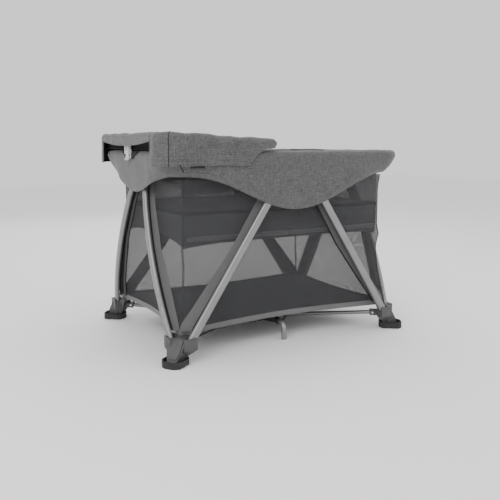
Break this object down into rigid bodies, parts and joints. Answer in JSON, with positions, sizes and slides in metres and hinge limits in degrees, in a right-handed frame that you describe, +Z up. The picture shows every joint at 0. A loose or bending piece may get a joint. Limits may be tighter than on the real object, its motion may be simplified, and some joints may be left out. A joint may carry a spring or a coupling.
{
  "type": "travel play yard",
  "caption": "Folding travel play yard: leaning oval legs, corner feet, central hub, mesh walls, zip-in bassinet and clip-on changer.",
  "frame": {"origin": "middle of the overall box, on the ground", "axes": "+X along the long side, away from the changer; +Y to the far long side; +Z up"},
  "size_m": [1.0066, 0.7414, 0.749],
  "materials": {
    "dark_plastic": "moulded, fine grain",
    "pad_rubber": "moulded rubber, matte",
    "pin_steel": "plain",
    "leg_tube": "anodised oval tube, satin",
    "black_plastic": "moulded, satin",
    "knob_plastic": "moulded, satin",
    "mesh": "fine open mesh",
    "dark_fabric": "plain woven, dark grey",
    "mattress_fabric": "quilted cover",
    "melange_fabric": "melange weave with stitched hems",
    "changer_fabric": "soft wipe-clean cover, quilted",
    "changer_tube": "powder coat",
    "light_plastic": "moulded, satin"
  },
  "bodies": {
    "foot_nl": {"foot_socket_nl": "dark_plastic", "foot_pad_nl": "pad_rubber", "foot_pins_nl": "pin_steel"},
    "arm_nl": {"floor_arm_nl": "leg_tube"},
    "foot_nr": {"foot_socket_nr": "dark_plastic", "foot_pad_nr": "pad_rubber", "foot_pins_nr": "pin_steel"},
    "arm_nr": {"floor_arm_nr": "leg_tube"},
    "foot_fl": {"foot_socket_fl": "dark_plastic", "foot_pad_fl": "pad_rubber", "foot_pins_fl": "pin_steel"},
    "arm_fl": {"floor_arm_fl": "leg_tube"},
    "foot_fr": {"foot_socket_fr": "dark_plastic", "foot_pad_fr": "pad_rubber", "foot_pins_fr": "pin_steel"},
    "arm_fr": {"floor_arm_fr": "leg_tube"},
    "hub": {"hub_body": "dark_plastic", "hub_cap": "dark_plastic", "hub_pins": "pin_steel", "floor_fabric": "dark_fabric", "mesh_walls": "mesh", "rim_cover": "melange_fabric", "bassinet_shell": "dark_fabric", "mattress": "mattress_fabric"},
    "knob": {"hub_knob": "knob_plastic"},
    "mid_near": {"mid_strut_near": "black_plastic", "mid_leg_near": "leg_tube"},
    "mid_far": {"mid_strut_far": "black_plastic", "mid_leg_far": "leg_tube"},
    "top_near": {"top_hub_near": "dark_plastic"},
    "top_far": {"top_hub_far": "dark_plastic"},
    "top_left": {"top_hub_left": "dark_plastic"},
    "top_right": {"top_hub_right": "dark_plastic"},
    "leg_near_l": {"leg_near_l": "leg_tube"},
    "rail_near_l": {"rail_near_l": "leg_tube"},
    "leg_near_r": {"leg_near_r": "leg_tube"},
    "rail_near_r": {"rail_near_r": "leg_tube"},
    "leg_far_l": {"leg_far_l": "leg_tube"},
    "rail_far_l": {"rail_far_l": "leg_tube"},
    "leg_far_r": {"leg_far_r": "leg_tube"},
    "rail_far_r": {"rail_far_r": "leg_tube"},
    "leg_left_n": {"leg_left_n": "leg_tube"},
    "rail_left_n": {"rail_left_n": "leg_tube", "corner_nl": "dark_plastic"},
    "leg_left_f": {"leg_left_f": "leg_tube"},
    "rail_left_f": {"rail_left_f": "leg_tube", "corner_fl": "dark_plastic"},
    "leg_right_n": {"leg_right_n": "leg_tube"},
    "rail_right_n": {"rail_right_n": "leg_tube", "corner_nr": "dark_plastic"},
    "leg_right_f": {"leg_right_f": "leg_tube"},
    "rail_right_f": {"rail_right_f": "leg_tube", "corner_fr": "dark_plastic"},
    "changer": {"changer_frame": "changer_tube", "changer_pad": "changer_fabric", "changer_cover": "melange_fabric", "changer_clamp": "light_plastic", "side_hooks": "black_plastic"},
    "clamp_lever": {"clamp_lever": "light_plastic"}
  },
  "joints": [
    {"name": "fold", "type": "hinge", "parent": "foot_nl", "child": "arm_nl", "pos_m": [-0.39564, -0.28539, 0.056], "axis": [0.5824, -0.8129, 0], "range_deg": [0, 87.34], "deforming": ["floor_fabric", "mesh_walls", "rim_cover", "bassinet_shell", "mattress"]},
    {"name": "hub_nl", "type": "hinge", "parent": "arm_nl", "child": "hub", "pos_m": [-0.0339, -0.02621, 0.03], "axis": [0.5824, -0.8129, 0], "range_deg": [-87.36, 0]},
    {"name": "hub_nr", "type": "hinge", "parent": "hub", "child": "arm_nr", "pos_m": [0.03926, -0.02621, 0.03], "axis": [0.5824, 0.8129, 0], "range_deg": [0, 87.36]},
    {"name": "foot_arm_nr", "type": "hinge", "parent": "arm_nr", "child": "foot_nr", "pos_m": [0.40099, -0.28539, 0.056], "axis": [0.5824, 0.8129, 0], "range_deg": [-87.36, 0]},
    {"name": "hub_fl", "type": "hinge", "parent": "hub", "child": "arm_fl", "pos_m": [-0.0339, 0.02621, 0.03], "axis": [-0.5824, -0.8129, 0], "range_deg": [0, 87.36]},
    {"name": "foot_arm_fl", "type": "hinge", "parent": "arm_fl", "child": "foot_fl", "pos_m": [-0.39564, 0.28539, 0.056], "axis": [-0.5824, -0.8129, 0], "range_deg": [-87.36, 0]},
    {"name": "hub_fr", "type": "hinge", "parent": "hub", "child": "arm_fr", "pos_m": [0.03926, 0.02621, 0.03], "axis": [-0.5824, 0.8129, 0], "range_deg": [0, 87.36]},
    {"name": "foot_arm_fr", "type": "hinge", "parent": "arm_fr", "child": "foot_fr", "pos_m": [0.40099, 0.28539, 0.056], "axis": [-0.5824, 0.8129, 0], "range_deg": [-87.36, 0]},
    {"name": "leg_near_l_foot", "type": "hinge", "parent": "foot_nl", "child": "leg_near_l", "pos_m": [-0.40632, -0.341, 0.07], "axis": [0, -1, 0], "range_deg": [0, 29.07]},
    {"name": "leg_near_r_foot", "type": "hinge", "parent": "foot_nr", "child": "leg_near_r", "pos_m": [0.41168, -0.341, 0.07], "axis": [0, 1, 0], "range_deg": [0, 29.07]},
    {"name": "leg_far_l_foot", "type": "hinge", "parent": "foot_fl", "child": "leg_far_l", "pos_m": [-0.40632, 0.341, 0.07], "axis": [0, -1, 0], "range_deg": [0, 29.07]},
    {"name": "leg_far_r_foot", "type": "hinge", "parent": "foot_fr", "child": "leg_far_r", "pos_m": [0.41168, 0.341, 0.07], "axis": [0, 1, 0], "range_deg": [0, 29.07]},
    {"name": "leg_left_n_foot", "type": "hinge", "parent": "foot_nl", "child": "leg_left_n", "pos_m": [-0.45132, -0.293, 0.07], "axis": [1, 0, 0], "range_deg": [0, 21.96]},
    {"name": "leg_left_f_foot", "type": "hinge", "parent": "foot_fl", "child": "leg_left_f", "pos_m": [-0.45132, 0.293, 0.07], "axis": [-1, 0, 0], "range_deg": [0, 21.96]},
    {"name": "leg_right_n_foot", "type": "hinge", "parent": "foot_nr", "child": "leg_right_n", "pos_m": [0.45668, -0.293, 0.07], "axis": [1, 0, 0], "range_deg": [0, 21.96]},
    {"name": "leg_right_f_foot", "type": "hinge", "parent": "foot_fr", "child": "leg_right_f", "pos_m": [0.45668, 0.293, 0.07], "axis": [-1, 0, 0], "range_deg": [0, 21.96]},
    {"name": "top_near", "type": "hinge", "parent": "leg_near_l", "child": "top_near", "pos_m": [-0.03232, -0.341, 0.64], "axis": [0, -1, 0], "range_deg": [-29.07, 0]},
    {"name": "top_far", "type": "hinge", "parent": "leg_far_r", "child": "top_far", "pos_m": [0.03768, 0.341, 0.64], "axis": [0, 1, 0], "range_deg": [-29.07, 0]},
    {"name": "top_left", "type": "hinge", "parent": "leg_left_f", "child": "top_left", "pos_m": [-0.43532, 0.03, 0.64], "axis": [-1, 0, 0], "range_deg": [-21.96, 0]},
    {"name": "top_right", "type": "hinge", "parent": "leg_right_n", "child": "top_right", "pos_m": [0.44068, -0.03, 0.64], "axis": [1, 0, 0], "range_deg": [-21.96, 0]},
    {"name": "rail_near_l", "type": "hinge", "parent": "top_near", "child": "rail_near_l", "pos_m": [-0.04532, -0.3215, 0.673], "axis": [0, -1, 0], "range_deg": [0, 86.02]},
    {"name": "rail_near_r", "type": "hinge", "parent": "top_near", "child": "rail_near_r", "pos_m": [0.05068, -0.3215, 0.673], "axis": [0, 1, 0], "range_deg": [0, 86.02]},
    {"name": "rail_far_l", "type": "hinge", "parent": "top_far", "child": "rail_far_l", "pos_m": [-0.04532, 0.3215, 0.673], "axis": [0, -1, 0], "range_deg": [0, 86.02]},
    {"name": "rail_far_r", "type": "hinge", "parent": "top_far", "child": "rail_far_r", "pos_m": [0.05068, 0.3215, 0.673], "axis": [0, 1, 0], "range_deg": [0, 86.02]},
    {"name": "rail_left_n", "type": "hinge", "parent": "top_left", "child": "rail_left_n", "pos_m": [-0.46972, -0.066, 0.673], "axis": [1, 0, 0], "range_deg": [0, 88.02]},
    {"name": "rail_left_f", "type": "hinge", "parent": "top_left", "child": "rail_left_f", "pos_m": [-0.46972, 0.066, 0.673], "axis": [-1, 0, 0], "range_deg": [0, 88.02]},
    {"name": "rail_right_n", "type": "hinge", "parent": "top_right", "child": "rail_right_n", "pos_m": [0.47508, -0.066, 0.673], "axis": [1, 0, 0], "range_deg": [0, 88.02]},
    {"name": "rail_right_f", "type": "hinge", "parent": "top_right", "child": "rail_right_f", "pos_m": [0.47508, 0.066, 0.673], "axis": [-1, 0, 0], "range_deg": [0, 88.02]},
    {"name": "mid_near", "type": "hinge", "parent": "hub", "child": "mid_near", "pos_m": [0.00268, -0.054, 0.034], "axis": [1, 0, 0], "range_deg": [0, 80.02]},
    {"name": "mid_far", "type": "hinge", "parent": "hub", "child": "mid_far", "pos_m": [0.00268, 0.054, 0.034], "axis": [-1, 0, 0], "range_deg": [0, 80.02]},
    {"name": "changer_lift", "type": "slide", "parent": "top_left", "child": "changer", "axis": [0, 0, 1], "range_m": [0, 0.5005]},
    {"name": "clamp_lever_swing", "type": "hinge", "parent": "changer", "child": "clamp_lever", "pos_m": [-0.49132, 0, 0.688], "axis": [0, 1, 0], "range_deg": [0, 60]},
    {"name": "knob_pull", "type": "slide", "parent": "hub", "child": "knob", "axis": [0, 0, 1], "range_m": [0, 0.012]}
  ],
  "couplings": [
    {"joint": "hub_nl", "follows": "fold", "ratio": -1},
    {"joint": "hub_nr", "follows": "fold", "ratio": 1},
    {"joint": "foot_arm_nr", "follows": "fold", "ratio": -1},
    {"joint": "hub_fl", "follows": "fold", "ratio": 1},
    {"joint": "foot_arm_fl", "follows": "fold", "ratio": -1},
    {"joint": "hub_fr", "follows": "fold", "ratio": 1},
    {"joint": "foot_arm_fr", "follows": "fold", "ratio": -1},
    {"joint": "leg_near_l_foot", "follows": "fold", "ratio": 0.33262},
    {"joint": "leg_near_r_foot", "follows": "fold", "ratio": 0.33262},
    {"joint": "leg_far_l_foot", "follows": "fold", "ratio": 0.33262},
    {"joint": "leg_far_r_foot", "follows": "fold", "ratio": 0.33262},
    {"joint": "leg_left_n_foot", "follows": "fold", "ratio": 0.25121},
    {"joint": "leg_left_f_foot", "follows": "fold", "ratio": 0.25121},
    {"joint": "leg_right_n_foot", "follows": "fold", "ratio": 0.25121},
    {"joint": "leg_right_f_foot", "follows": "fold", "ratio": 0.25121},
    {"joint": "top_near", "follows": "fold", "ratio": -0.33262},
    {"joint": "top_far", "follows": "fold", "ratio": -0.33262},
    {"joint": "top_left", "follows": "fold", "ratio": -0.25121},
    {"joint": "top_right", "follows": "fold", "ratio": -0.25121},
    {"joint": "rail_near_l", "follows": "fold", "ratio": 0.98461},
    {"joint": "rail_near_r", "follows": "fold", "ratio": 0.98461},
    {"joint": "rail_far_l", "follows": "fold", "ratio": 0.98461},
    {"joint": "rail_far_r", "follows": "fold", "ratio": 0.98461},
    {"joint": "rail_left_n", "follows": "fold", "ratio": 1.0075},
    {"joint": "rail_left_f", "follows": "fold", "ratio": 1.0075},
    {"joint": "rail_right_n", "follows": "fold", "ratio": 1.0075},
    {"joint": "rail_right_f", "follows": "fold", "ratio": 1.0075},
    {"joint": "mid_near", "follows": "fold", "ratio": 0.91592},
    {"joint": "mid_far", "follows": "fold", "ratio": 0.91592},
    {"joint": "changer_lift", "follows": "fold", "m_per_rad": 0.32799}
  ]
}
